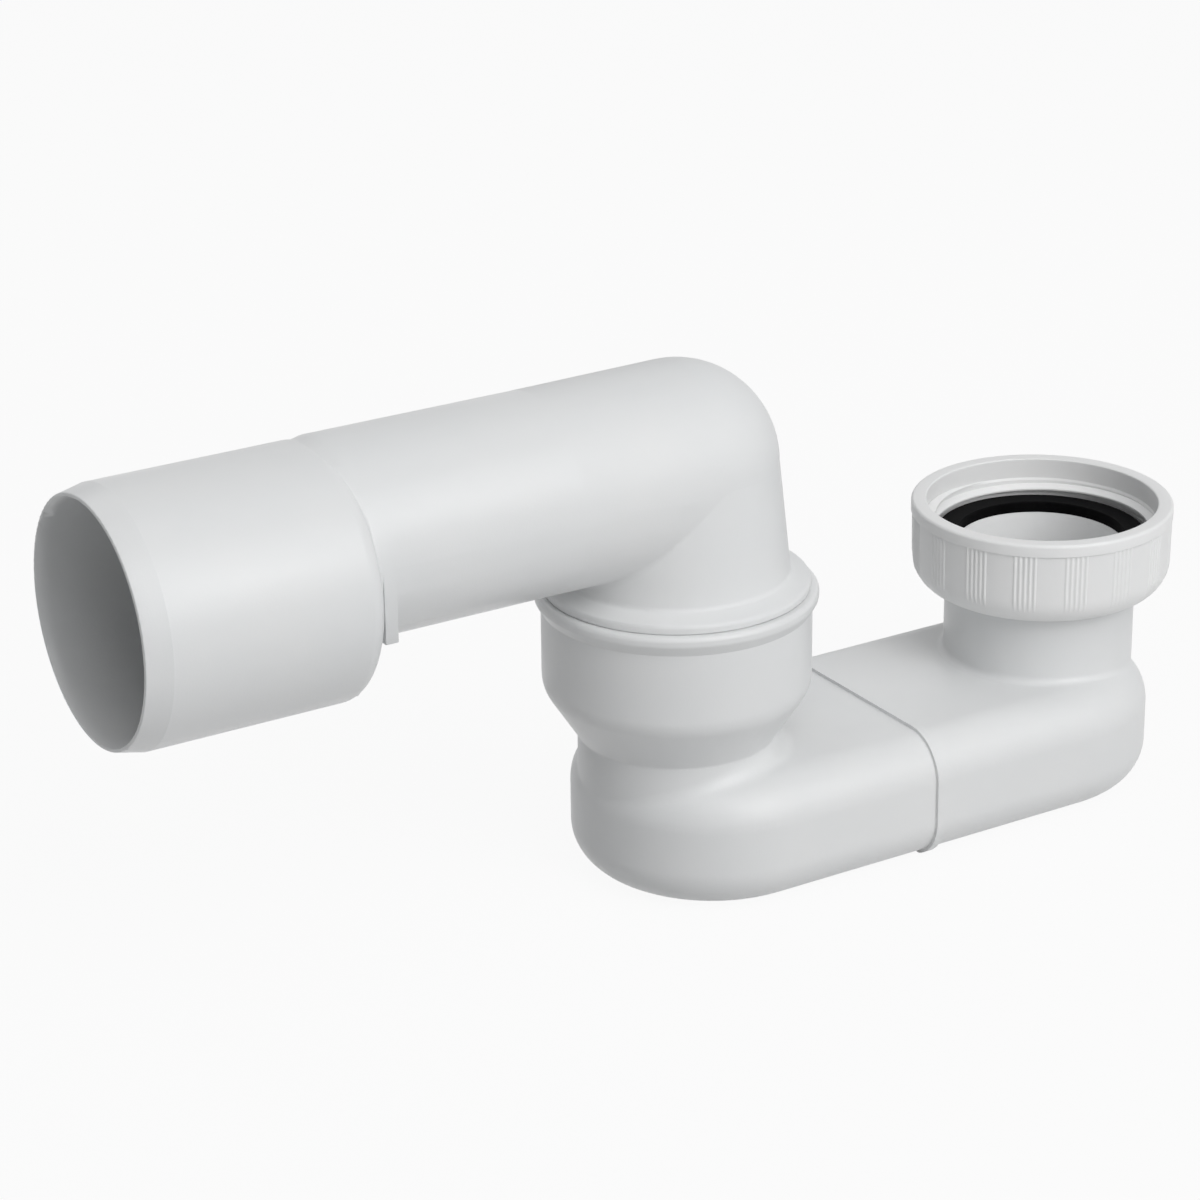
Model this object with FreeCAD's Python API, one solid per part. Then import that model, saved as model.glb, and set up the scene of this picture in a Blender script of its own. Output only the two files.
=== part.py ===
# Bath trap: a flat P-trap body with a union nut inlet and a swivelling 40/50 outlet elbow.
# Frame: origin on the floor under the swivel axis, +X towards the inlet, +Z up. Millimetres.

import FreeCAD, Part
import math
import os

# Pipe sizes
pipe_d = 40.0            # outlet arm and both necks
spigot_d = 50.0          # outlet end, pushed into a 50 mm waste socket
wall = 2.5               # moulded wall everywhere
run_clear = 0.3          # between pieces that move past each other

# Socket of the outlet, across
socket_d = 54.0
collar_step = 1.3        # its rim is thicker outside
seat_step = 1.3          # and bored wider inside, for the seal
tail_room = 2.5          # round the elbow's tail
collar_d = socket_d + 2 * collar_step
seal_seat_d = socket_d - 2 * wall + 2 * seat_step
tail_d = socket_d - 2 * wall - 2 * tail_room

# Trough, welded from two halves
trough_margin = 0.4      # each side, wider than the socket's rim
trough_w = collar_d + 2 * trough_margin
trough_h = 26.5
top_edge_r = 9.0
floor_edge_r = 9.0
outlet_step = 0.4        # round end past the outlet neck
inlet_step = 1.8         # round end past the inlet neck
outlet_overhang = pipe_d / 2 + outlet_step
inlet_overhang = pipe_d / 2 + inlet_step
inlet_x = 91.4           # inlet axis from the swivel axis
seam_x = inlet_x / 2
bead_w = 1.8             # weld bead
bead_h = 0.7

# Outlet neck and the socket above it, upwards
neck_h = 3.7
neck_blend_r = 4.0
neck_top_z = trough_h + neck_h
shoulder_angle = 33.0    # of the shoulder from upright
shoulder_r = 7.0
throat_r = 1.5           # neck into the shoulder
socket_h = 34.9          # trough to rim
socket_rim_z = trough_h + socket_h
collar_side_h = 2.0      # upright side of the socket's rim
collar_flare_h = 2.2     # and the flare below it
collar_side_r = 1.5
collar_rim_r = 1.1
seal_seat_depth = 5.5

# Lip seal between socket and elbow
seal_clear = 0.1         # running fit on the elbow and in its seat
seal_lip_h = 1.3
seal_lip_drop = 1.2      # lips slope down to the elbow
seal_web = 0.2           # web between the lips, past half of the ring

# Elbow
arm_rise = 25.9          # arm's axis above the socket's rim
arm_z = socket_rim_z + arm_rise
foot_step = 0.6          # leg's foot past the tail
foot_d = tail_d + 2 * foot_step
flange_inset = 1.6       # cover flange inside the socket's rim
flange_d = collar_d - 2 * flange_inset
flange_edge_h = 1.4
flange_edge_r = 1.0
flange_crown_h = 1.6     # rise from flange edge to leg
foot_blend_r = 1.2
corner_r = 1.5           # rounding between arm and leg
corner_share = 0.6       # at most this share of the height left above the flange
tail_stand = 1.0         # tail's end above the socket's shoulder
bend_len = 33.0          # tapered part of the arm beside the bend
bend_swell = 0.3         # radius gained over the tapered part
shoulder_x = 77.3        # arm meets the spigot's shoulder
spigot_len = 48.3
crown_step = 0.7         # spigot's crown below the arm's
spigot_drop = (spigot_d - pipe_d) / 2 + crown_step
spigot_edge_r = 3.6
run_in_len = spigot_edge_r   # arm's end sinks into the spigot's rounded shoulder
run_in_sink = 0.1        # at last below the spigot's crown
lead_in_len = 5.0
lead_in_depth = 1.1
mouth_bevel = 0.8        # inside the open end
mouth_bevel_len = 2.4
lug_t = 2.6              # stop plate in front of the spigot's shoulder
lug_gap = 1.4
lug_x = shoulder_x - lug_gap - lug_t / 2
lug_drop = 14.5          # lower edge below the arm axis

# Inlet neck
inlet_blend_r = 1.6
inlet_neck_h = 24.1
inlet_face_z = trough_h + inlet_neck_h
flange_t = 3.5
flange_step = 1.6        # its flange past the neck
inlet_flange_d = pipe_d + 2 * flange_step

# Thread of nut and waste: 44.85 inside the turns and 47.8 over them is G 1 1/2
flange_room = 0.825      # inside the thread, round the neck's flange
thread_depth = 1.475
nut_minor_d = inlet_flange_d + 2 * flange_room
nut_major_d = nut_minor_d + 2 * thread_depth

# Washer
washer_t = 2.4
washer_gap = 0.4         # all round, inside the thread

# Union nut
nut_rise = 9.8           # nut's top above the neck's end face
nut_floor_t = 5.2
nut_wall = 3.55          # outside the thread
nut_rim_h = 2.7
nut_rim_r = 0.7
nut_floor_r = 6.0
nut_mouth_h = 1.6        # plain recess above the thread
nut_mouth_bevel = 0.8
nut_groove_depth = 0.6   # thread run-out groove, beside washer and neck flange
nut_d = nut_major_d + 2 * nut_wall
nut_top_z = inlet_face_z + nut_rise
nut_ledge_z = inlet_face_z - flange_t - run_clear
nut_low_z = nut_ledge_z - nut_floor_t
land_depth = 0.35        # smooth lands lie below the rim
grip_groups = 16
ribs_per_group = 5
rib_pitch = 1.05
rib_root_cover = 0.3     # rib feet sunk below the lands
rib_start = 4.2          # above the nut's lower face
rib_fade_w = 2.0         # slope at the ribs' lower ends
rib_fade_h = 2.5
rib_fade_r = 1.5
grip_draft = 0.25

# Common roundings and margins
crisp_r = 0.3            # corners left nearly sharp
edge_r = 0.5             # edges of flanges and rims
tail_edge_r = 0.8
cut_over = 1.0           # cutters run past the faces they open
touch = 0.0001           # two heights or places count as the same
neck_tolerance = 0.01    # an edge this close to the neck's radius belongs to it

up = FreeCAD.Vector(0, 0, 1)
east = FreeCAD.Vector(1, 0, 0)


def vec(x, y, z):
    return FreeCAD.Vector(x, y, z)


def outline(corners):
    """Closed wire in the XZ plane from (x, z, corner radius) points."""
    points = [vec(c[0], 0, c[1]) for c in corners]
    radii = [c[2] if len(c) > 2 else 0.0 for c in corners]
    count = len(points)
    starts, arcs = [], []
    for i, corner in enumerate(points):
        to_last = (points[i - 1] - corner).normalize()
        to_next = (points[(i + 1) % count] - corner).normalize()
        if radii[i] <= 0:
            starts.append((corner, corner))
            arcs.append(None)
            continue
        half = to_last.getAngle(to_next) / 2
        reach = radii[i] / math.tan(half)
        begin = corner + to_last * reach
        end = corner + to_next * reach
        middle_way = (to_last + to_next).normalize()
        middle = corner + middle_way * (radii[i] / math.sin(half) - radii[i])
        starts.append((begin, end))
        arcs.append(Part.Arc(begin, middle, end).toShape())
    edges = []
    for i in range(count):
        if arcs[i] is not None:
            edges.append(arcs[i])
        here = starts[i][1]
        there = starts[(i + 1) % count][0]
        if here.distanceToPoint(there) > touch:
            edges.append(Part.LineSegment(here, there).toShape())
    return Part.Wire(edges)


def turned(corners, x=0.0):
    """Solid turned about the upright axis at x, from (radius, z, corner radius) points."""
    face = Part.Face(outline(corners))
    solid = face.revolve(vec(0, 0, 0), up, 360)
    solid.translate(vec(x, 0, 0))
    return solid


def rod(radius, x_from, x_to, z, radius_to=None):
    """Round bar or cone along X."""
    start = vec(x_from, 0, z)
    if radius_to is None or abs(radius_to - radius) < touch:
        return Part.makeCylinder(radius, x_to - x_from, start, east)
    return Part.makeCone(radius, radius_to, x_to - x_from, start, east)


def level_edges(solid, z, open_x):
    """Edges that lie at height z, apart from the one across the open end."""
    found = []
    for edge in solid.Edges:
        box = edge.BoundBox
        level = abs(box.ZMin - z) < touch and abs(box.ZMax - z) < touch
        across = abs(box.XMin - open_x) < touch and abs(box.XMax - open_x) < touch
        if level and not across:
            found.append(edge)
    return found


def trough_block(open_x, end_x, inset):
    """Half of the trough as a solid block, its walls moved inwards by inset."""
    half_w = trough_w / 2 - inset
    side = 1 if end_x > open_x else -1
    tip_x = end_x - side * inset
    centre_x = end_x - side * trough_w / 2
    low = inset
    high = trough_h - inset
    near = vec(centre_x, -half_w, low)
    far = vec(centre_x, half_w, low)
    edges = [
        Part.LineSegment(vec(open_x, -half_w, low), near).toShape(),
        Part.Arc(near, vec(tip_x, 0, low), far).toShape(),
        Part.LineSegment(far, vec(open_x, half_w, low)).toShape(),
        Part.LineSegment(vec(open_x, half_w, low), vec(open_x, -half_w, low)).toShape(),
    ]
    block = Part.Face(Part.Wire(edges)).extrude(up * (high - low))
    block = block.makeFillet(top_edge_r - inset, level_edges(block, high, open_x))
    return block.makeFillet(floor_edge_r - inset, level_edges(block, low, open_x))


def blended_neck(block, neck, x, radius, blend):
    """Fuse an upright neck to a block and round the corner between them."""
    body = block.fuse(neck).removeSplitter()
    corner = []
    for edge in body.Edges:
        box = edge.BoundBox
        in_height = trough_h - top_edge_r - cut_over < box.ZMin and box.ZMax < trough_h + touch
        if not in_height:
            continue
        reach = [math.hypot(p.x - x, p.y) for p in edge.discretize(7)]
        if max(abs(r - radius) for r in reach) < neck_tolerance:
            corner.append(edge)
    return body.makeFillet(blend, corner)


def weld_bead():
    """Low ridge round the seam, level with the flat floor below."""
    wide = trough_w / 2 + bead_h
    section = outline([
        (-wide, -bead_h, floor_edge_r + bead_h),
        (wide, -bead_h, floor_edge_r + bead_h),
        (wide, trough_h + bead_h, top_edge_r + bead_h),
        (-wide, trough_h + bead_h, top_edge_r + bead_h),
    ])
    section.rotate(vec(0, 0, 0), up, 90)
    bead = Part.Face(section).extrude(east * bead_w)
    bead.translate(vec(seam_x - bead_w, 0, 0))
    corner = vec(seam_x - 2 * bead_w, -2 * wide, -2 * bead_h)
    under = Part.makeBox(3 * bead_w, 4 * wide, 2 * bead_h, corner)
    return bead.cut(under)


def socket_outside(foot_z):
    """Neck, shoulder, socket and its thickened rim, as one turned solid."""
    neck_r = pipe_d / 2
    socket_r = socket_d / 2
    lean = math.radians(shoulder_angle)
    shoulder_z = neck_top_z + (socket_r - neck_r) / math.tan(lean)
    side_z = socket_rim_z - collar_side_h
    return turned([
        (0, foot_z),
        (neck_r, foot_z),
        (neck_r, neck_top_z, throat_r),
        (socket_r, shoulder_z, shoulder_r),
        (socket_r, side_z - collar_flare_h),
        (collar_d / 2, side_z, collar_side_r),
        (collar_d / 2, socket_rim_z, collar_rim_r),
        (0, socket_rim_z),
    ])


def inner_cone_z():
    """Height at which the neck's bore begins to widen, one wall inside the shoulder."""
    return neck_top_z + wall * math.tan(math.radians(shoulder_angle) / 2)


def inner_shoulder_z():
    """Height at which the socket's full inside width begins."""
    widening = (socket_d - pipe_d) / 2
    return inner_cone_z() + widening / math.tan(math.radians(shoulder_angle))


def socket_inside(foot_z):
    """Waterway of the neck and the room for elbow and seal."""
    neck_r = pipe_d / 2 - wall
    socket_r = socket_d / 2 - wall
    cone_z = inner_cone_z()
    shoulder_z = inner_shoulder_z()
    seat_z = socket_rim_z - seal_seat_depth
    return turned([
        (0, foot_z),
        (neck_r, foot_z),
        (neck_r, cone_z),
        (socket_r, shoulder_z, shoulder_r - wall),
        (socket_r, seat_z),
        (seal_seat_d / 2, seat_z),
        (seal_seat_d / 2, socket_rim_z + cut_over),
        (0, socket_rim_z + cut_over),
    ])


def make_outlet_half():
    middle_z = trough_h / 2
    block = trough_block(seam_x, -outlet_overhang, 0.0)
    neck_r = pipe_d / 2
    stub = Part.makeCylinder(neck_r, trough_h + 2 * neck_blend_r - middle_z, vec(0, 0, middle_z))
    body = blended_neck(block, stub, 0.0, neck_r, neck_blend_r)
    body = body.fuse([socket_outside(middle_z), weld_bead()]).removeSplitter()
    hollow = trough_block(seam_x + cut_over, -outlet_overhang, wall)
    return body.cut([hollow, socket_inside(middle_z)]).removeSplitter()


def make_inlet_half():
    middle_z = trough_h / 2
    neck_r = pipe_d / 2
    end_x = inlet_x + inlet_overhang
    block = trough_block(seam_x, end_x, 0.0)
    stub = Part.makeCylinder(neck_r, inlet_face_z - middle_z, vec(inlet_x, 0, middle_z))
    body = blended_neck(block, stub, inlet_x, neck_r, inlet_blend_r)
    flange = turned([
        (0, inlet_face_z - flange_t),
        (inlet_flange_d / 2, inlet_face_z - flange_t),
        (inlet_flange_d / 2, inlet_face_z, edge_r),
        (0, inlet_face_z),
    ], inlet_x)
    bore = Part.makeCylinder(neck_r - wall, inlet_face_z - middle_z + cut_over, vec(inlet_x, 0, middle_z))
    hollow = trough_block(seam_x - cut_over, end_x, wall)
    return body.fuse(flange).cut([hollow, bore]).removeSplitter()


def leg_radius(z):
    """Outside radius of the upright leg, which widens from the bend to its foot."""
    foot_z = flange_top_z()
    share = (arm_z - z) / (arm_z - foot_z)
    top_r = pipe_d / 2 + bend_swell
    return top_r + share * (foot_d / 2 - top_r)


def flange_top_z():
    return socket_rim_z + run_clear + flange_edge_h + flange_crown_h


def corner_radius():
    """Rounding between arm and leg, as far as the height above the flange allows."""
    room = arm_z - pipe_d / 2 - flange_top_z()
    return min(corner_r, corner_share * room)


def corner_edges(elbow):
    """Long curve along which arm and leg meet, under the arm's axis on its side of the leg."""
    found = []
    for edge in elbow.Edges:
        box = edge.BoundBox
        under_arm = box.ZMin > flange_top_z() and box.ZMax < arm_z + touch and box.XMax < touch
        if under_arm and edge.Length > pipe_d:
            found.append(edge)
    return found


def elbow_outside():
    flange_z = socket_rim_z + run_clear
    tail_z = inner_shoulder_z() + tail_stand
    leg = turned([
        (0, arm_z),
        (leg_radius(arm_z), arm_z),
        (foot_d / 2, flange_top_z(), foot_blend_r),
        (flange_d / 2, flange_z + flange_edge_h, flange_edge_r),
        (flange_d / 2, flange_z, crisp_r),
        (tail_d / 2, flange_z),
        (tail_d / 2, tail_z, tail_edge_r),
        (0, tail_z),
    ])
    arm_r = pipe_d / 2
    bend_r = arm_r + bend_swell
    bend = Part.makeSphere(bend_r, vec(0, 0, arm_z))
    taper = rod(arm_r, -bend_len, 0, arm_z, bend_r)
    corner = leg.fuse([bend, taper]).removeSplitter()
    corner = corner.makeFillet(corner_radius(), corner_edges(corner))
    arm = rod(arm_r, -shoulder_x, -bend_len, arm_z)
    sunk_r = arm_r - crown_step - run_in_sink
    run_in = rod(sunk_r, -shoulder_x - run_in_len, -shoulder_x, arm_z, arm_r)
    return corner.fuse([arm, run_in])


def spigot_outside():
    """Outlet spigot with a rounded shoulder and a lead-in at its open end."""
    spigot_r = spigot_d / 2
    end_x = -shoulder_x - spigot_len
    profile = outline([
        (end_x, 0),
        (end_x, spigot_r - lead_in_depth, crisp_r),
        (end_x + lead_in_len, spigot_r),
        (-shoulder_x, spigot_r, spigot_edge_r),
        (-shoulder_x, 0),
    ])
    solid = Part.Face(profile).revolve(vec(0, 0, 0), east, 360)
    solid.translate(vec(0, 0, arm_z - spigot_drop))
    return solid


def stop_lug():
    """Flat plate across the arm, as wide as the arm, square at its lower corners."""
    return Part.makeBox(lug_t, pipe_d, lug_drop, vec(-lug_x - lug_t / 2, -pipe_d / 2, arm_z - lug_drop))


def elbow_waterway():
    bore_r = pipe_d / 2 - wall
    low = inner_shoulder_z() + tail_stand - cut_over
    leg = turned([(0, low), (tail_d / 2 - wall, low), (bore_r, arm_z), (0, arm_z)])
    bend = Part.makeSphere(bore_r, vec(0, 0, arm_z))
    arm = rod(bore_r, -shoulder_x - 2 * wall, 0, arm_z)
    wide_r = spigot_d / 2 - wall
    end_x = -shoulder_x - spigot_len
    mouth = outline([
        (end_x - cut_over, 0),
        (end_x - cut_over, wide_r + mouth_bevel),
        (end_x, wide_r + mouth_bevel),
        (end_x + mouth_bevel_len, wide_r),
        (-shoulder_x - wall, wide_r, spigot_edge_r - wall),
        (-shoulder_x - wall, 0),
    ])
    wide = Part.Face(mouth).revolve(vec(0, 0, 0), east, 360)
    wide.translate(vec(0, 0, arm_z - spigot_drop))
    return leg.fuse([bend, arm, wide])


def make_elbow():
    body = elbow_outside().fuse([spigot_outside(), stop_lug()])
    return body.cut(elbow_waterway()).removeSplitter()


def make_socket_seal():
    """Rubber ring with two lips that point down the tail of the elbow."""
    lip_r = tail_d / 2 + seal_clear
    back_r = seal_seat_d / 2 - seal_clear
    web_r = (lip_r + back_r) / 2 + seal_web
    low = socket_rim_z - seal_seat_depth
    high = socket_rim_z - seal_web
    tip_h = seal_lip_h / 2
    middle = (low + high) / 2
    return turned([
        (back_r, low),
        (back_r, high),
        (web_r, high),
        (lip_r, high - seal_lip_drop),
        (lip_r, high - seal_lip_drop - tip_h),
        (web_r, middle + seal_web),
        (web_r, middle),
        (lip_r, middle - seal_lip_drop),
        (lip_r, middle - seal_lip_drop - tip_h),
        (web_r, low),
    ])


def make_washer():
    inner_r = pipe_d / 2 - wall
    outer_r = nut_minor_d / 2 - washer_gap
    return turned([
        (inner_r, inlet_face_z),
        (outer_r, inlet_face_z),
        (outer_r, inlet_face_z + washer_t),
        (inner_r, inlet_face_z + washer_t),
    ], inlet_x)


def round_about(radius, angle):
    return vec(radius * math.cos(angle), radius * math.sin(angle), 0)


def grip_ribs():
    """Ring of fine upright ribs in groups, cut to the nut's draft and fading at its rounded foot."""
    tip_r = nut_d / 2
    root_r = tip_r - land_depth - rib_root_cover
    group_step = 2 * math.pi / grip_groups
    rib_step = rib_pitch / tip_r
    points = []
    for group in range(grip_groups):
        first = group * group_step - rib_step * ribs_per_group / 2
        for rib in range(ribs_per_group):
            points.append(round_about(root_r, first + rib * rib_step))
            points.append(round_about(tip_r, first + (rib + 0.5) * rib_step))
        points.append(round_about(root_r, first + ribs_per_group * rib_step))
    points.append(points[0])
    low = nut_low_z
    star = Part.Face(Part.makePolygon(points)).extrude(up * (nut_top_z - nut_rim_h - low))
    star.translate(vec(0, 0, low))
    hull = turned([
        (0, low + rib_start),
        (tip_r - grip_draft - rib_fade_w, low + rib_start),
        (tip_r - grip_draft, low + rib_start + rib_fade_h, rib_fade_r),
        (tip_r, nut_top_z - nut_rim_h),
        (0, nut_top_z - nut_rim_h),
    ])
    ribs = star.common(hull)
    ribs.translate(vec(inlet_x, 0, 0))
    return ribs


def make_union_nut():
    low = nut_low_z
    rim_z = nut_top_z - nut_rim_h
    rim_r = nut_d / 2
    land_r = rim_r - land_depth
    body = turned([
        (0, low),
        (land_r - grip_draft, low, nut_floor_r),
        (land_r, rim_z),
        (rim_r, rim_z),
        (rim_r, nut_top_z, nut_rim_r),
        (0, nut_top_z),
    ], inlet_x)
    groove_r = nut_minor_d / 2 + nut_groove_depth
    groove_z = inlet_face_z + washer_t + run_clear
    mouth_r = nut_major_d / 2 + run_clear
    mouth_z = nut_top_z - nut_mouth_h
    inside = turned([
        (0, low - cut_over),
        (pipe_d / 2 + run_clear, low - cut_over),
        (pipe_d / 2 + run_clear, nut_ledge_z),
        (groove_r, nut_ledge_z),
        (groove_r, groove_z),
        (nut_minor_d / 2, groove_z),
        (nut_minor_d / 2, mouth_z - nut_mouth_bevel),
        (mouth_r, mouth_z),
        (mouth_r, nut_top_z + cut_over),
        (0, nut_top_z + cut_over),
    ], inlet_x)
    return body.fuse(grip_ribs()).cut(inside).removeSplitter()


def save(shape, name):
    if len(shape.Solids) == 1:
        shape = shape.Solids[0]
    shape.exportStep("parts/" + name + ".step")
    box = shape.BoundBox
    print(name, "solids", len(shape.Solids), "valid", shape.isValid(), "cm3", round(shape.Volume / 1000, 2),
          "x", round(box.XMin, 2), round(box.XMax, 2), "z", round(box.ZMin, 2), round(box.ZMax, 2))


os.makedirs("parts", exist_ok=True)
save(make_outlet_half(), "trap_outlet_half")
save(make_inlet_half(), "trap_inlet_half")
save(make_elbow(), "swivel_elbow")
save(make_socket_seal(), "socket_seal")
save(make_washer(), "inlet_washer")
save(make_union_nut(), "union_nut")
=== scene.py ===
# %% [markdown]
# # A bath trap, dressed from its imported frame
#
# The object is a shallow trap for a bath waste: a flat trough that keeps a water seal, an
# upright inlet neck with a union nut, and a socket in which an outlet elbow can swivel.
# Everything is moulded in white plastic, with two rubber rings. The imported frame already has
# every wall in its place, so this file adds what a mould and a tool leave behind: rounded
# edges, grip ribs, a screw thread and the satin skin of the plastic.

# %% Load the frame
import bmesh
import bpy
import math
from mathutils import Matrix, Vector


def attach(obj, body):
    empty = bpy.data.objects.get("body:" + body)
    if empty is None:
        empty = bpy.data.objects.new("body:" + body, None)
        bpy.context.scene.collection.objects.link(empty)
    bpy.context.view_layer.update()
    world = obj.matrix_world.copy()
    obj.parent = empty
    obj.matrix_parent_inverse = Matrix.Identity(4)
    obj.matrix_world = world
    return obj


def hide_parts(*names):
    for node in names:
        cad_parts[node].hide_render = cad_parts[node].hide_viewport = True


def in_mm(point):
    """A point in millimetres, short enough to print."""
    return [round(value * 1000, 1) for value in point]


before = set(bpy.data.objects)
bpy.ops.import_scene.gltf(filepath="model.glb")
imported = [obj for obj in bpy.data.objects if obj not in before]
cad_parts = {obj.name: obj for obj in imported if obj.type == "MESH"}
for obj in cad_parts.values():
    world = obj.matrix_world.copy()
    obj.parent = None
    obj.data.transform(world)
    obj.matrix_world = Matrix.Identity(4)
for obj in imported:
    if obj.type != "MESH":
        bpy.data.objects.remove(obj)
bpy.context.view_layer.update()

# %% [markdown]
# ## Sizes
#
# A drawing is read in millimetres and Blender works in metres. Each size is written once, in
# millimetres, and is multiplied by MM where a mesh is made. The union nut is the only piece
# that is built again from its sizes, so only its numbers are needed here.

# %% Sizes
MM = 0.001
inlet_x = 91.4                   # where the nut's axis stands
nut_low, nut_top = 41.6, 60.4
nut_rim_h = 2.7                  # the smooth rim over the ribs
nut_rim_r = 27.45
land_depth = 0.35                # how far the ribbed side stands back from the rim
draft = 0.25                     # how much narrower the side is at its foot
nut_foot_r = 6.0
neck_hole_r = 20.3
ledge_z = 46.8                   # the inner ledge that holds the neck's flange
thread_crest_r = 22.425
thread_root_r = 23.9
thread_pitch = 2.309
thread_above_ledge = 4.4
mouth_r = 24.2
mouth_depth = 4.3                # the plain recess over the thread
rib_groups = 16
ribs_per_group = 5
rib_pitch = 1.05
rib_half_width = 0.50
rib_height = 0.20
rib_sunk = 0.06                  # how deep a rib's edges lie in the nut's side
rib_fade = 4.5                   # the length over which a rib grows from nothing
print("nut from z", nut_low, "to", nut_top, "mm, thread pitch", thread_pitch)

# %% [markdown]
# ## Satin white plastic
#
# Moulded polypropylene is never one flat colour. The melt leaves faint clouds, its flow leaves
# streaks of gloss along the piece, and the mould's skin is finely grained. Three noises at
# three scales do that: a large one for the colour, a middle one for the gloss and a slight
# wave, and a very fine one for the bump. They read Object coordinates, so the pattern stays on
# the piece when it moves. Two places differ. Light comes through the thin wall of the inlet's
# bore, and a mask paints that light into the colour as a whiter wall. The bend's skin is a
# little duller than the arm's.

# %% Helpers for node trees
def add(tree, kind, inputs=None, **settings):
    """Adds a node. Inputs are values, or sockets of other nodes to link from."""
    node = tree.nodes.new(kind)
    for key, value in settings.items():
        setattr(node, key, value)
    for key, value in (inputs or {}).items():
        if isinstance(value, bpy.types.NodeSocket):
            tree.links.new(value, node.inputs[key])
        else:
            node.inputs[key].default_value = value
    return node


def maths(tree, operation, a, b=0.0):
    """One operation on two terms, each a number or a socket."""
    return add(tree, "ShaderNodeMath", {0: a, 1: b}, operation=operation).outputs[0]


def new_material(name):
    """An empty node material: itself, its tree, its main shader, its Object coordinates."""
    material = bpy.data.materials.new(name)
    material.use_nodes = True
    tree = material.node_tree
    tree.nodes.clear()
    output = add(tree, "ShaderNodeOutputMaterial")
    shader = add(tree, "ShaderNodeBsdfPrincipled")
    tree.links.new(shader.outputs["BSDF"], output.inputs["Surface"])
    place = add(tree, "ShaderNodeTexCoord").outputs["Object"]
    return material, tree, shader, place


def noise(tree, place, scale, detail, roughness):
    """A noise texture's value."""
    return add(tree, "ShaderNodeTexNoise", {
        "Vector": place, "Scale": scale, "Detail": detail, "Roughness": roughness}).outputs[0]


def bump(tree, height, strength, depth, under=None):
    """A bump of some depth in millimetres, on top of another bump if one is given."""
    inputs = {"Height": height, "Strength": strength, "Distance": depth * MM}
    if under is not None:
        inputs["Normal"] = under
    return add(tree, "ShaderNodeBump", inputs).outputs[0]


def colour_between(tree, factor, low, high):
    """Mixes two colours, each four numbers or a socket, by a factor socket."""
    return add(tree, "ShaderNodeMix", {0: factor, 6: low, 7: high}, data_type="RGBA").outputs[2]


noise_low, noise_high = 0.3, 0.7         # nearly all of a noise lies between these


def range_of(tree, value, low, high):
    """Maps a noise, which stays near its middle, onto a range of numbers."""
    return add(tree, "ShaderNodeMapRange", {
        "Value": value, "From Min": noise_low, "From Max": noise_high, "To Min": low, "To Max": high,
    }).outputs["Result"]


def step_of(tree, value, low, high):
    """0 at low and 1 at high, in millimetres, with a soft step between the two."""
    return add(tree, "ShaderNodeMapRange", {
        "Value": value, "From Min": low * MM, "From Max": high * MM, "To Min": 0.0, "To Max": 1.0,
    }, interpolation_type="SMOOTHSTEP").outputs["Result"]


def painted_light_mask(tree, place, axis_x, radius, low_z):
    """Where the bore's painted light goes: 1 on the wall of an upright bore, 0 elsewhere. It rises over
    the first 6 mm from low_z.
    """
    moved = add(tree, "ShaderNodeVectorMath", {0: place, 1: (-axis_x * MM, 0.0, 0.0)},
                operation="ADD").outputs[0]
    flat = add(tree, "ShaderNodeVectorMath", {0: moved, 1: (1.0, 1.0, 0.0)},
               operation="MULTIPLY").outputs[0]
    away = add(tree, "ShaderNodeVectorMath", {0: flat}, operation="LENGTH").outputs["Value"]
    height = add(tree, "ShaderNodeSeparateXYZ", {"Vector": place}).outputs["Z"]
    on_wall = step_of(tree, away, low=radius + 0.7, high=radius + 0.1)
    high_up = step_of(tree, height, low=low_z, high=low_z + 6.0)
    return maths(tree, "MULTIPLY", on_wall, high_up)


# %% Satin white plastic
batch_white = (0.755, 0.766, 0.770, 1), (0.780, 0.786, 0.786, 1)
nut_batch_white = (0.845, 0.850, 0.850, 1), (0.870, 0.870, 0.865, 1)
# painted light: the whiter colour painted on the inlet bore's wall, for light that comes through the thin
# wall
painted_light_white = (0.95, 0.955, 0.955, 1)
polypropylene_ior = 1.49
extra_dullness = 0.18                    # roughness added on the bend
painted_light_spot = {"axis_x": inlet_x, "radius": 17.5, "low_z": 22.0}
bend_from_x = -33.0


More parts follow.
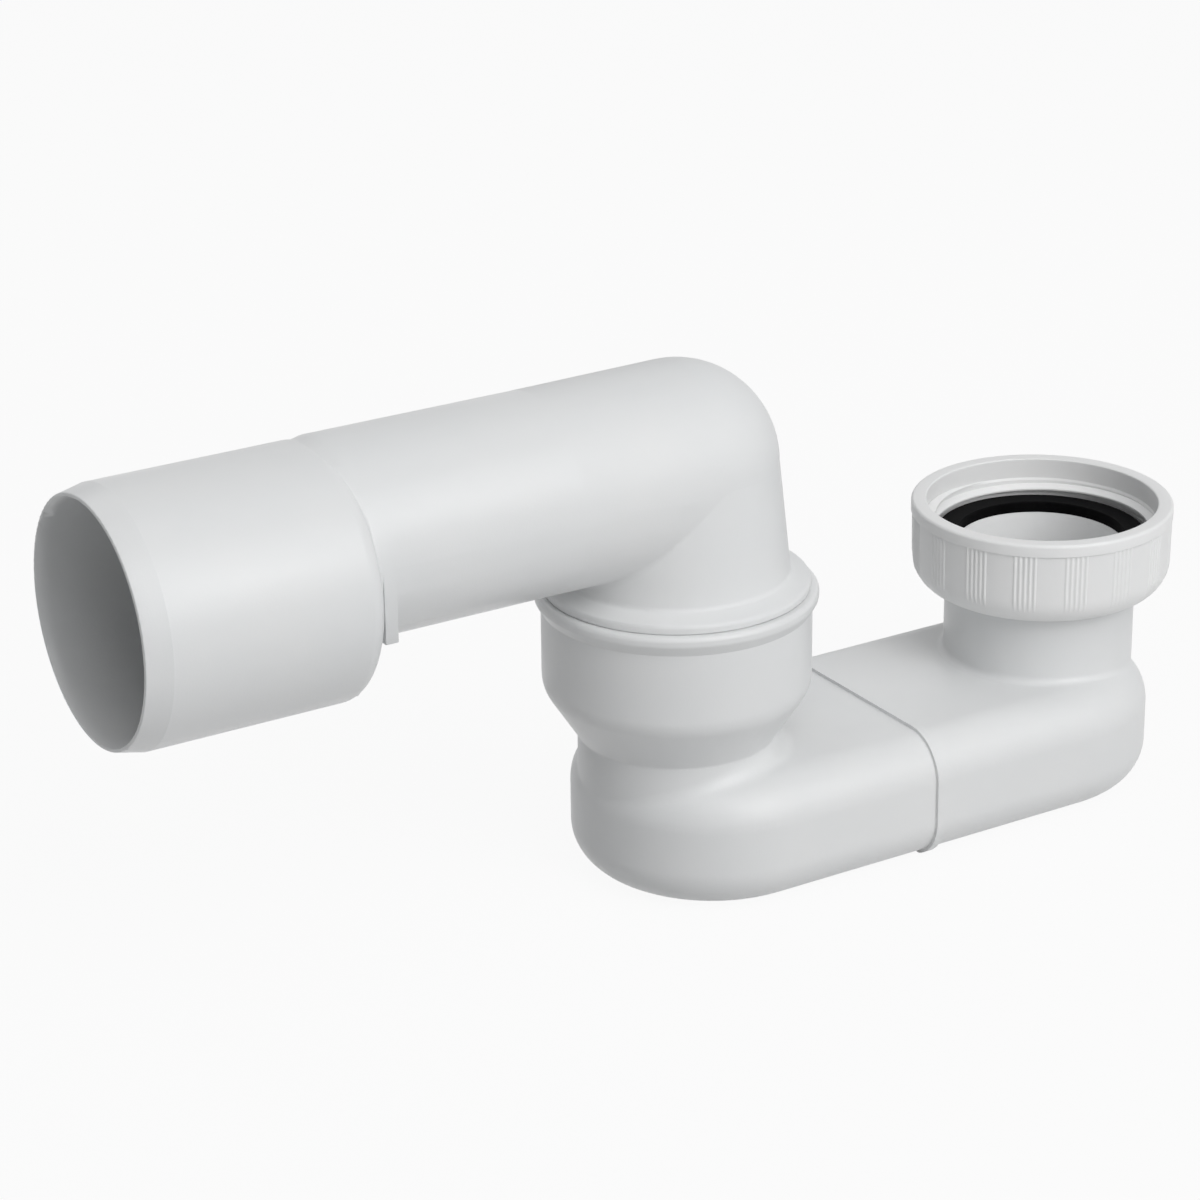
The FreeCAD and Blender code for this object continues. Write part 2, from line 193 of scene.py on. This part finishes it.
def satin_plastic(name, colours, seed, gloss=(0.33, 0.43), bore_painted_light=None, matt_from=None):
    """White mouldings of one batch: the same recipe with a slightly different cloud.

    bore_painted_light says where a bore's wall is painted whiter, as painted light for the light that
    comes through its thin wall, and matt_from is the x from which the skin is duller.
    """
    material, tree, shader, place = new_material(name)
    moved = add(tree, "ShaderNodeMapping", {
        "Vector": place, "Location": (seed, seed * 0.7, -seed)}).outputs[0]
    drawn_out = add(tree, "ShaderNodeMapping", {
        "Vector": moved, "Scale": (0.25, 1.0, 1.0)}).outputs[0]
    cloud = noise(tree, moved, scale=34.0, detail=3.0, roughness=0.55)
    flow = noise(tree, drawn_out, scale=160.0, detail=2.0, roughness=0.5)
    grain = noise(tree, moved, scale=2600.0, detail=2.0, roughness=0.6)
    colour = colour_between(tree, range_of(tree, cloud, 0.0, 1.0), *colours)
    # painted light: a mask paints the bore's wall whiter, in place of light coming through it
    if bore_painted_light:
        colour = colour_between(tree, painted_light_mask(tree, place, **bore_painted_light), colour, painted_light_white)
    rough = range_of(tree, flow, *gloss)
    if matt_from is not None:
        along = add(tree, "ShaderNodeSeparateXYZ", {"Vector": place}).outputs["X"]
        matt = step_of(tree, along, matt_from, matt_from + 1.0)
        rough = maths(tree, "ADD", rough, maths(tree, "MULTIPLY", matt, extra_dullness))
    wave = bump(tree, flow, strength=0.10, depth=0.4)
    skin = bump(tree, grain, strength=0.22, depth=0.06, under=wave)
    tree.links.new(colour, shader.inputs["Base Color"])
    tree.links.new(rough, shader.inputs["Roughness"])
    tree.links.new(skin, shader.inputs["Normal"])
    shader.inputs["IOR"].default_value = polypropylene_ior
    shader.inputs["Specular IOR Level"].default_value = 0.42
    return material


body_white = satin_plastic("body_plastic_satin", batch_white, seed=0.0)
inlet_white = satin_plastic("inlet_plastic_satin", batch_white, seed=0.0,
                            bore_painted_light=painted_light_spot)
arm_white = satin_plastic("arm_plastic_satin", batch_white, seed=3.1, gloss=(0.29, 0.38),
                          matt_from=bend_from_x)
nut_white = satin_plastic("nut_plastic_satin", nut_batch_white, seed=7.4, gloss=(0.36, 0.46))
print("plastics", [m.name for m in (body_white, inlet_white, arm_white, nut_white)])

# %% [markdown]
# ## Black rubber
#
# The flat washer and the lip seal are soft black rubber. It is not quite black, it has a dry
# grey bloom in clouds, and its skin is finely pitted. Rubber is dull, so its shader is rough
# and reflects little.

# %% Black rubber
def soft_rubber(name):
    """Dry black rubber whose colour and gloss change with its bloom."""
    material, tree, shader, place = new_material(name)
    bloom = noise(tree, place, scale=120.0, detail=4.0, roughness=0.6)
    pits = noise(tree, place, scale=1900.0, detail=3.0, roughness=0.65)
    colour = colour_between(tree, range_of(tree, bloom, 0.0, 1.0),
                            (0.0015, 0.0015, 0.0017, 1), (0.0045, 0.0045, 0.0048, 1))
    tree.links.new(colour, shader.inputs["Base Color"])
    tree.links.new(range_of(tree, bloom, 0.58, 0.72), shader.inputs["Roughness"])
    tree.links.new(bump(tree, pits, strength=0.35, depth=0.08), shader.inputs["Normal"])
    shader.inputs["IOR"].default_value = 1.15
    shader.inputs["Specular IOR Level"].default_value = 0.3
    return material


ring_rubber = soft_rubber("seal_rubber_black")
print("rubber", ring_rubber.name)

# %% [markdown]
# ## Mouldings with softened edges
#
# The frame's walls are exact, but its edges are as sharp as a drawing and its mesh is loose
# triangles. A copy of each node is merged, its flat triangles are joined back into larger
# faces, and a Bevel modifier breaks every edge that turns by more than an angle. The elbow has
# no bevel, because the thin rim of its open end leaves no room for one. Smooth shading runs
# over all edges but the sharp ones. Three listed rings of edges on the elbow are marked sharp:
# its lead-in turns too little to be found by an angle, and the stop plate would pull the
# shading of the arm aside. Weighted normals then keep the large faces flat to the light. The
# copy stands for the node, which stays in the frame.

# %% Objects and shading
def linked(name, data):
    """A new object in the scene for a mesh, curve, lamp or camera."""
    made = bpy.data.objects.new(name, data)
    bpy.context.scene.collection.objects.link(made)
    return made


def mesh_of(form, name):
    """Turns a bmesh into a named mesh and lets the bmesh go."""
    mesh = bpy.data.meshes.new(name)
    form.to_mesh(mesh)
    form.free()
    return mesh


def smooth(mesh, turn):
    """Smooth shading, kept sharp only where faces turn by more than an angle."""
    for face in mesh.polygons:
        face.use_smooth = True
    mesh.set_sharp_from_angle(angle=math.radians(turn))


def crease(mesh, x):
    """Keeps the shading apart along one ring of edges, at x in millimetres."""
    for edge in mesh.edges:
        if all(abs(mesh.vertices[i].co.x - x * MM) < 0.01 * MM for i in edge.vertices):
            edge.use_edge_sharp = True


def merge_near(form, spot, reach=1.2, step=0.12):
    """Joins the slivers that a tessellation leaves where three surfaces meet."""
    near = [vert for vert in form.verts if (vert.co - spot).length < reach * MM]
    bmesh.ops.remove_doubles(form, verts=near, dist=step * MM)


def lower_skirt(form, inner_r, low_z, high_z, drop):
    """Brings the outer lower edge of a flange down, to close the gap that it runs on."""
    for vert in form.verts:
        away = math.hypot(vert.co.x, vert.co.y)
        if away > inner_r * MM and low_z * MM < vert.co.z < high_z * MM:
            vert.co.z -= drop * MM


# %% Mouldings from the frame
def moulding(node, name, body, material, edge=0.25, turn=28, slivers=(), creases=(),
             skirt=None):
    """A softened copy of a frame node that takes its place in the picture.

    edge is the bevel's width in millimetres and turn the angle in degrees from which an edge
    is bevelled; slivers, creases and skirt feed the helpers above.
    """
    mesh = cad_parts[node].data.copy()
    mesh.name = name
    form = bmesh.new()
    form.from_mesh(mesh)
    bmesh.ops.remove_doubles(form, verts=form.verts, dist=0.002 * MM)
    for spot in slivers:
        merge_near(form, Vector(spot) * MM)
    bmesh.ops.dissolve_limit(form, angle_limit=math.radians(0.6), verts=form.verts, edges=form.edges)
    bmesh.ops.recalc_face_normals(form, faces=form.faces)
    if skirt:
        lower_skirt(form, **skirt)
    form.to_mesh(mesh)
    form.free()
    mesh.materials.clear()
    mesh.materials.append(material)
    piece = linked(name, mesh)
    if edge:
        bevel = piece.modifiers.new("broken_edges", "BEVEL")
        bevel.width = edge * MM
        bevel.segments = 3
        bevel.limit_method = "ANGLE"
        bevel.angle_limit = math.radians(turn)
        bevel.harden_normals = False
        bevel.use_clamp_overlap = True
    smooth(mesh, turn + 4)
    for x in creases:
        crease(mesh, x)
    weighted = piece.modifiers.new("face_normals", "WEIGHTED_NORMAL")
    weighted.keep_sharp = True
    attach(piece, body)
    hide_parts(node)
    print(name, "faces", len(mesh.polygons))


arm_z = 87.3
bend_sides = [(0, side * 20.3, arm_z) for side in (1, -1)]
lead_in_x = -120.6
plate_x = -75.9, -73.3
flange_skirt = {"inner_r": 25.0, "low_z": 61.6, "high_z": 62.05, "drop": 0.25}
moulding("trap_outlet_half", "outlet_half_moulding", "trap_body", body_white,
         edge=0.45)
moulding("trap_inlet_half", "inlet_half_moulding", "trap_body", inlet_white)
moulding("swivel_elbow", "elbow_moulding", "outlet_arm", arm_white,
         edge=0, turn=36, slivers=bend_sides, creases=(lead_in_x, *plate_x), skirt=flange_skirt)
moulding("inlet_washer", "washer_ring", "trap_body", ring_rubber, edge=0.2)
moulding("socket_seal", "lip_seal_ring", "trap_body", ring_rubber, edge=0.1)

# %% [markdown]
# ## The union nut's shell
#
# A nut is a turned shape, so its shell is one outline spun about the inlet's axis. The
# outline goes up the outside, over the rim, down the wide mouth, along the root of the
# thread, and back through the hole that passes the neck. A short helper rounds each corner
# of an outline, as the mould does.

# %% Turned shapes
def rounded(corners, steps):
    """Points of a closed outline whose (r, z, radius) corners are rounded by arcs."""
    points = []
    for i, (r, z, radius) in enumerate(corners):
        here = Vector((r, z))
        back = (Vector(corners[i - 1][:2]) - here).normalized()
        ahead = (Vector(corners[(i + 1) % len(corners)][:2]) - here).normalized()
        half = back.angle(ahead) / 2
        begin = here + back * (radius / math.tan(half))
        end = here + ahead * (radius / math.tan(half))
        centre = here + (back + ahead).normalized() * (radius / math.sin(half))
        for step in range(steps + 1):
            spoke = (begin - centre).normalized().slerp((end - centre).normalized(), step / steps)
            points.append(centre + spoke * radius)
    return points


def turned(name, outline, x, material, steps=240, turn=30):
    """Spins a closed outline about the upright axis at x, in millimetres."""
    form = bmesh.new()
    rings = []
    for step in range(steps):
        angle = 2 * math.pi * step / steps
        rings.append([form.verts.new(((x + r * math.cos(angle)) * MM, r * math.sin(angle) * MM, z * MM))
                      for r, z in outline])
    for step, ring in enumerate(rings):
        after = rings[(step + 1) % steps]
        for i in range(len(outline)):
            j = (i + 1) % len(outline)
            form.faces.new((ring[i], after[i], after[j], ring[j]))
    bmesh.ops.recalc_face_normals(form, faces=form.faces)
    mesh = mesh_of(form, name)
    mesh.materials.append(material)
    smooth(mesh, turn)
    print(name, "faces", len(mesh.polygons))
    return linked(name, mesh)


# %% The nut's shell
land_r = nut_rim_r - land_depth
rim_z = nut_top - nut_rim_h
mouth_z = nut_top - mouth_depth
thread_low = ledge_z + thread_above_ledge
nut_outline = rounded([
    # radius, height, rounding of the corner
    (neck_hole_r, nut_low, 0.3),
    (land_r - draft, nut_low, nut_foot_r),
    (land_r, rim_z, 0.12),
    (nut_rim_r, rim_z, 0.15),
    (nut_rim_r, nut_top, 0.7),
    (mouth_r, nut_top, 0.35),
    (mouth_r, mouth_z, 0.15),
    (thread_root_r, mouth_z - 0.5, 0.2),
    (thread_root_r, thread_low, 0.3),
    (thread_crest_r, thread_low - 0.8, 0.2),
    (thread_crest_r, ledge_z, 0.2),
    (neck_hole_r, ledge_z, 0.2),
], steps=7)
nut_shell = turned("nut_shell", nut_outline, inlet_x, nut_white)

# %% [markdown]
# ## Grip ribs round the nut
#
# Fingers need something to hold on a wet nut, so it has fine upright ribs in groups of five
# between smooth lands. One rib is built as a small ridge that follows the nut's side and
# fades out round its foot. Geometry Nodes then set a copy at every rib's angle. The rule is
# in the tree: a rib's number gives its group and its place in the group.

# %% One rib
def rib_path():
    """The line up the nut's side that a rib follows: its (r, z) points, and how far each is."""
    into_foot, row_step, into_rim = 1.5, 0.8, 0.3
    rim_starts = next(i for i, (r, z) in enumerate(nut_outline) if z > rim_z + 0.02)
    side = [p for p in nut_outline[:rim_starts]
            if land_r - draft - into_foot < p[0] < land_r + 0.01]
    path = []
    for a, b in zip(side, side[1:]):
        pieces = max(1, int((b - a).length / row_step))
        path.extend(a.lerp(b, i / pieces) for i in range(pieces))
    path.append(side[-1])
    path.append(Vector((land_r, rim_z + into_rim)))
    lengths = [0.0]
    for a, b in zip(path, path[1:]):
        lengths.append(lengths[-1] + (b - a).length)
    return path, lengths


def grip_rib(name):
    """A rounded ridge on the nut's side, at angle zero about the nut's axis."""
    path, lengths = rib_path()
    half = [(-rib_half_width, -rib_sunk), (-0.34, 0.02), (-0.17, 0.15)]
    across = half + [(0.0, rib_height)] + [(-sideways, height) for sideways, height in reversed(half)]
    form = bmesh.new()
    rows = []
    for i, point in enumerate(path):
        along = (path[min(i + 1, len(path) - 1)] - path[max(i - 1, 0)]).normalized()
        outward = Vector((along.y, -along.x))
        share = min(1.0, lengths[i] / rib_fade)
        fade = share * share * (3 - 2 * share)
        row = []
        for sideways, height in across:
            lifted = point + outward * ((height + rib_sunk) * fade - rib_sunk)
            row.append(form.verts.new((lifted.x * MM, sideways * MM, lifted.y * MM)))
        rows.append(row)
    for low_row, high_row in zip(rows, rows[1:]):
        for i in range(len(across) - 1):
            form.faces.new((low_row[i], low_row[i + 1], high_row[i + 1], high_row[i]))
    print(name, "rows", len(rows), "length", round(lengths[-1], 1), "mm")
    return linked(name, mesh_of(form, name))


one_rib = grip_rib("one_grip_rib")

# %% Geometry Nodes helpers
def new_tree(name, sockets):
    """A modifier tree with named inputs; returns it with its input and output nodes."""
    tree = bpy.data.node_groups.new(name, "GeometryNodeTree")
    tree.is_modifier = True
    tree.interface.new_socket("Geometry", in_out="INPUT", socket_type="NodeSocketGeometry")
    for label, kind in sockets:
        tree.interface.new_socket(label, in_out="INPUT", socket_type="NodeSocket" + kind)
    tree.interface.new_socket("Geometry", in_out="OUTPUT", socket_type="NodeSocketGeometry")
    return tree, add(tree, "NodeGroupInput"), add(tree, "NodeGroupOutput")


def grown(name, tree, values, material):
    """Runs a tree on an empty object and keeps the result as a plain mesh object."""
    seed_object = linked(name + "_seed", bpy.data.meshes.new(name + "_seed"))
    modifier = seed_object.modifiers.new("rule", "NODES")
    modifier.node_group = tree
    for item in tree.interface.items_tree:
        if item.item_type == "SOCKET" and item.in_out == "INPUT" and item.name in values:
            modifier[item.identifier] = values[item.name]
    bpy.context.view_layer.update()
    depsgraph = bpy.context.evaluated_depsgraph_get()
    mesh = bpy.data.meshes.new_from_object(seed_object.evaluated_get(depsgraph))
    mesh.name = name
    seed_object.modifiers.remove(modifier)
    bpy.data.objects.remove(seed_object)
    if material.name not in [m.name for m in mesh.materials if m]:
        mesh.materials.append(material)
    print(name, "faces", len(mesh.polygons))
    return linked(name, mesh)


# %% Ribs in groups
def rib_ring_tree():
    """The rule of the ribs: copies of one rib, in even groups round a circle."""
    tree, given, result = new_tree("ribs_in_groups", [
        ("Rib", "Object"), ("Groups", "Int"), ("Ribs per group", "Int"),
        ("Rib step", "Float"), ("Centre", "Vector"), ("Finish", "Material"),
    ])
    groups, each = given.outputs["Groups"], given.outputs["Ribs per group"]
    number = add(tree, "GeometryNodeInputIndex").outputs[0]
    group = maths(tree, "FLOOR", maths(tree, "DIVIDE", number, each))
    place = maths(tree, "MODULO", number, each)
    middle = maths(tree, "DIVIDE", maths(tree, "SUBTRACT", each, 1.0), 2.0)
    offset = maths(tree, "MULTIPLY", maths(tree, "SUBTRACT", place, middle), given.outputs["Rib step"])
    group_step = maths(tree, "DIVIDE", 2 * math.pi, groups)
    angle = maths(tree, "ADD", maths(tree, "MULTIPLY", group, group_step), offset)
    points = add(tree, "GeometryNodePoints", {"Count": maths(tree, "MULTIPLY", groups, each)})
    rib = add(tree, "GeometryNodeObjectInfo", {"Object": given.outputs["Rib"]})
    turn = add(tree, "ShaderNodeCombineXYZ", {"Z": angle})
    ring = add(tree, "GeometryNodeInstanceOnPoints", {
        "Points": points.outputs[0], "Instance": rib.outputs["Geometry"], "Rotation": turn.outputs[0]})
    moved = add(tree, "GeometryNodeTransform", {
        "Geometry": ring.outputs[0], "Translation": given.outputs["Centre"]})
    real = add(tree, "GeometryNodeRealizeInstances", {"Geometry": moved.outputs[0]})
    soft = add(tree, "GeometryNodeSetShadeSmooth", {"Geometry": real.outputs[0]})
    done = add(tree, "GeometryNodeSetMaterial", {
        "Geometry": soft.outputs[0], "Material": given.outputs["Finish"]})
    tree.links.new(done.outputs[0], result.inputs[0])
    return tree


grip_ribs = grown("nut_grip_ribs", rib_ring_tree(), {
    "Rib": one_rib, "Groups": rib_groups, "Ribs per group": ribs_per_group,
    "Rib step": rib_pitch / nut_rim_r, "Centre": (inlet_x * MM, 0.0, 0.0), "Finish": nut_white,
}, nut_white)
bpy.data.objects.remove(one_rib)

# %% [markdown]
# ## The screw thread
#
# The nut screws onto the bath waste by a pipe thread of 11 turns to the inch. A thread is a
# small tooth drawn along a helix, so the tree draws a spiral, sweeps the tooth along it and
# lets the tooth grow from nothing at both ends, as a moulded thread does.

# %% Thread tooth and helix
def thread_tooth(name):
    """One tooth's section as a closed curve: root at 0, crest inwards, foot sunk in the wall."""
    foot = thread_pitch / 2 * 0.86
    depth = thread_root_r - thread_crest_r
    crest, flank, sunk = depth * 0.98, depth * 0.86, -0.25
    upper = [(crest, 0.16), (flank, 0.32), (0.0, foot), (sunk, foot)]
    lower = [(inward, -height) for inward, height in reversed(upper)]
    points = lower + upper
    curve = bpy.data.curves.new(name, "CURVE")
    curve.dimensions = "3D"
    line = curve.splines.new("POLY")
    line.points.add(len(points) - 1)
    for i, (inward, height) in enumerate(points):
        line.points[i].co = (inward * MM, height * MM, 0, 1)
    line.use_cyclic_u = True
    return linked(name, curve)


def thread_tree():
    """The rule of the thread: a tooth swept along a helix, with a run-out at both ends."""
    tree, given, result = new_tree("tooth_on_helix", [
        ("Tooth", "Object"), ("Turns", "Float"), ("Steps per turn", "Int"),
        ("Root radius", "Float"), ("Pitch", "Float"), ("Start", "Vector"),
        ("Run-out", "Float"), ("Finish", "Material"),
    ])
    turns, radius = given.outputs["Turns"], given.outputs["Root radius"]
    helix = add(tree, "GeometryNodeCurveSpiral", {
        "Resolution": given.outputs["Steps per turn"], "Rotations": turns,
        "Start Radius": radius, "End Radius": radius,
        "Height": maths(tree, "MULTIPLY", turns, given.outputs["Pitch"]), "Reverse": False})
    upright = add(tree, "GeometryNodeSetCurveNormal", {"Curve": helix.outputs[0]}, mode="Z_UP")
    along = add(tree, "GeometryNodeSplineParameter").outputs["Factor"]
    from_start = maths(tree, "DIVIDE", along, given.outputs["Run-out"])
    from_end = maths(tree, "DIVIDE", maths(tree, "SUBTRACT", 1.0, along), given.outputs["Run-out"])
    grow = maths(tree, "MINIMUM", maths(tree, "MINIMUM", from_start, from_end), 1.0)
    tooth = add(tree, "GeometryNodeObjectInfo", {"Object": given.outputs["Tooth"]})
    swept = add(tree, "GeometryNodeCurveToMesh", {
        "Curve": upright.outputs[0], "Profile Curve": tooth.outputs["Geometry"], "Scale": grow,
        "Fill Caps": False})
    moved = add(tree, "GeometryNodeTransform", {
        "Geometry": swept.outputs[0], "Translation": given.outputs["Start"]})
    real = add(tree, "GeometryNodeRealizeInstances", {"Geometry": moved.outputs[0]})
    done = add(tree, "GeometryNodeSetMaterial", {
        "Geometry": real.outputs[0], "Material": given.outputs["Finish"]})
    tree.links.new(done.outputs[0], result.inputs[0])
    return tree


end_clearance = 0.35             # of a pitch, so that the tooth starts clear of the run-out
tooth = thread_tooth("thread_tooth")
thread_turns = (mouth_z - thread_low) / thread_pitch - end_clearance
thread_start_z = thread_low + thread_pitch * end_clearance
thread = grown("nut_thread", thread_tree(), {
    "Tooth": tooth, "Turns": thread_turns, "Steps per turn": 160, "Root radius": thread_root_r * MM,
    "Pitch": thread_pitch * MM, "Start": (inlet_x * MM, 0.0, thread_start_z * MM),
    "Run-out": 0.08, "Finish": nut_white,
}, nut_white)
bpy.data.objects.remove(tooth)
low, high = thread.data.vertices[0].co, thread.data.vertices[-1].co
print("thread turns", round(thread_turns, 2), "from", in_mm(low), "to", in_mm(high))

# %% [markdown]
# ## Shell, ribs and thread as one moulding
#
# The nut is a single piece, so the three meshes are joined into one object that stands for
# the frame's nut and turns with it.

# %% The finished nut
def joined(name, parts, turn):
    """One object from several, with the first one's material."""
    form = bmesh.new()
    for part in parts:
        form.from_mesh(part.data)
    bmesh.ops.recalc_face_normals(form, faces=form.faces)
    mesh = mesh_of(form, name)
    mesh.materials.append(parts[0].data.materials[0])
    for part in parts:
        bpy.data.objects.remove(part)
    smooth(mesh, turn)
    print(name, "faces", len(mesh.polygons))
    return linked(name, mesh)


nut = joined("union_nut_moulding", [nut_shell, grip_ribs, thread], turn=40)
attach(nut, "inlet_nut")
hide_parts("union_nut")

# %% [markdown]
# ## Floor and backdrop
#
# The picture is a plain product picture on white. The world is dim, so that the lamps shape the
# object, but it is white to the camera and in reflections. The floor does the same with a
# mixed shader, of which a small share stays paint, so that it keeps the object's shadow.

# %% Floor and backdrop
def white_to_the_eye(tree):
    """White where a ray comes from the camera, a reflection or glass; as lit otherwise."""
    rays = add(tree, "ShaderNodeLightPath")
    seen = maths(tree, "MAXIMUM", rays.outputs["Is Camera Ray"], rays.outputs["Is Glossy Ray"])
    return maths(tree, "MAXIMUM", seen, rays.outputs["Is Transmission Ray"])


world_strength = 0.20
floor_whiteness = 0.93
floor_reach = 2.0
world = bpy.data.worlds.new("studio")
bpy.context.scene.world = world
world.use_nodes = True
sky = world.node_tree
sky.nodes.clear()
around = add(sky, "ShaderNodeBackground", {"Color": (0.97, 0.98, 1.0, 1), "Strength": world_strength})
backdrop = add(sky, "ShaderNodeBackground", {"Color": (1, 1, 1, 1), "Strength": 1.0})
choose = add(sky, "ShaderNodeMixShader", {
    0: white_to_the_eye(sky), 1: around.outputs[0], 2: backdrop.outputs[0]})
add(sky, "ShaderNodeOutputWorld", {"Surface": choose.outputs[0]})

floor_mesh = bpy.data.meshes.new("floor")
corners = [(x * floor_reach, y * floor_reach, 0) for x, y in ((-1, -1), (1, -1), (1, 1), (-1, 1))]
floor_mesh.from_pydata(corners, [], [(0, 1, 2, 3)])
floor = linked("floor", floor_mesh)
floor_paint, floor_tree, floor_shader, _ = new_material("floor_paint")
floor_shader.inputs["Base Color"].default_value = (0.60, 0.60, 0.60, 1)
floor_shader.inputs["Roughness"].default_value = 0.9
glow = add(floor_tree, "ShaderNodeEmission", {"Color": (1, 1, 1, 1), "Strength": 1.0})
how_white = maths(floor_tree, "MULTIPLY", white_to_the_eye(floor_tree), floor_whiteness)
mixed = add(floor_tree, "ShaderNodeMixShader", {
    0: how_white, 1: floor_shader.outputs[0], 2: glow.outputs[0]})
floor_out = next(node for node in floor_tree.nodes if node.type == "OUTPUT_MATERIAL")
floor_tree.links.new(mixed.outputs[0], floor_out.inputs["Surface"])
floor_mesh.materials.append(floor_paint)
print("world strength", world_strength, "floor whiteness", floor_whiteness)

# %% [markdown]
# ## Camera
#
# The camera stands where the photograph's did. Its place was worked out from the pipe ends
# and the trough, so it is given as angles about the object and a distance. The photograph's
# middle isn't the lens's middle, so the camera is shifted as well.

# %% Camera
def aim(azimuth, elevation, roll):
    """Right, up and backward directions of a camera that looks at the object."""
    az, el, tilt = math.radians(azimuth), math.radians(elevation), math.radians(roll)
    back = Vector((math.sin(az) * math.cos(el), -math.cos(az) * math.cos(el), math.sin(el)))
    right = (-back).cross(Vector((0, 0, 1))).normalized()
    up = right.cross(-back)
    return right * math.cos(tilt) + up * math.sin(tilt), up * math.cos(tilt) - right * math.sin(tilt), back


image_px = 1200.0
focal_px, centre_x, centre_y = 3757.986, 631.001, 559.633
target = Vector((-10.544, 0.0, 68.777)) * MM
distance = 736.233 * MM
right, up, back = aim(azimuth=-31.976, elevation=21.674, roll=-0.476)
camera_data = bpy.data.cameras.new("camera")
camera_data.sensor_width = 36.0
camera_data.lens = focal_px / image_px * camera_data.sensor_width
camera_data.shift_x = (image_px / 2 - centre_x) / image_px
camera_data.shift_y = (centre_y - image_px / 2) / image_px
camera_data.clip_start = 0.01
camera = linked("camera", camera_data)
stand = Matrix((right, up, back)).transposed().to_4x4()
stand.translation = target + back * distance
camera.matrix_world = stand
bpy.context.scene.camera = camera
shift = [round(value, 4) for value in (camera_data.shift_x, camera_data.shift_y)]
print("camera lens", round(camera_data.lens, 2), "shift", shift)

# %% [markdown]
# ## Lamps
#
# Five large square lamps light the object, all soft because of their size. They are placed by
# directions as the camera sees them: to its right, towards it, and up. The three brightest
# stand in front and on the right, so the object is a little darker on its left and below.

# %% Lamps
lit_middle = Vector((-10.0, 0.0, 55.0)) * MM
flat_right = Vector((right.x, right.y, 0)).normalized()
flat_back = Vector((back.x, back.y, 0)).normalized()
overhead = Vector((0, 0, 1))
lamps = [
    # name, direction (right, towards the camera, up), distance and size in metres, watts
    ("key_lamp", (0.75, 0.55, 0.75), 1.4, 0.9, 5.0),
    ("top_lamp", (0.0, 0.1, 1.0), 1.5, 1.2, 2.5),
    ("front_lamp", (0.7, 0.8, 0.5), 1.8, 1.0, 8.2),
    ("high_front_lamp", (0.35, 0.9, 1.2), 1.6, 0.9, 4.9),
    ("back_lamp", (-0.5, -0.6, 0.9), 1.6, 0.9, 2.5),
]
for name, (sideways, nearer, higher), away, size, watts in lamps:
    lamp_data = bpy.data.lights.new(name, "AREA")
    lamp_data.shape = "SQUARE"
    lamp_data.size = size
    lamp_data.energy = watts
    lamp = linked(name, lamp_data)
    towards = (flat_right * sideways + flat_back * nearer + overhead * higher).normalized()
    lamp.location = lit_middle + towards * away
    lamp.rotation_euler = towards.to_track_quat("Z", "Y").to_euler()
bpy.context.scene.view_settings.view_transform = "Standard"
print("lamps", [lamp_row[0] for lamp_row in lamps])
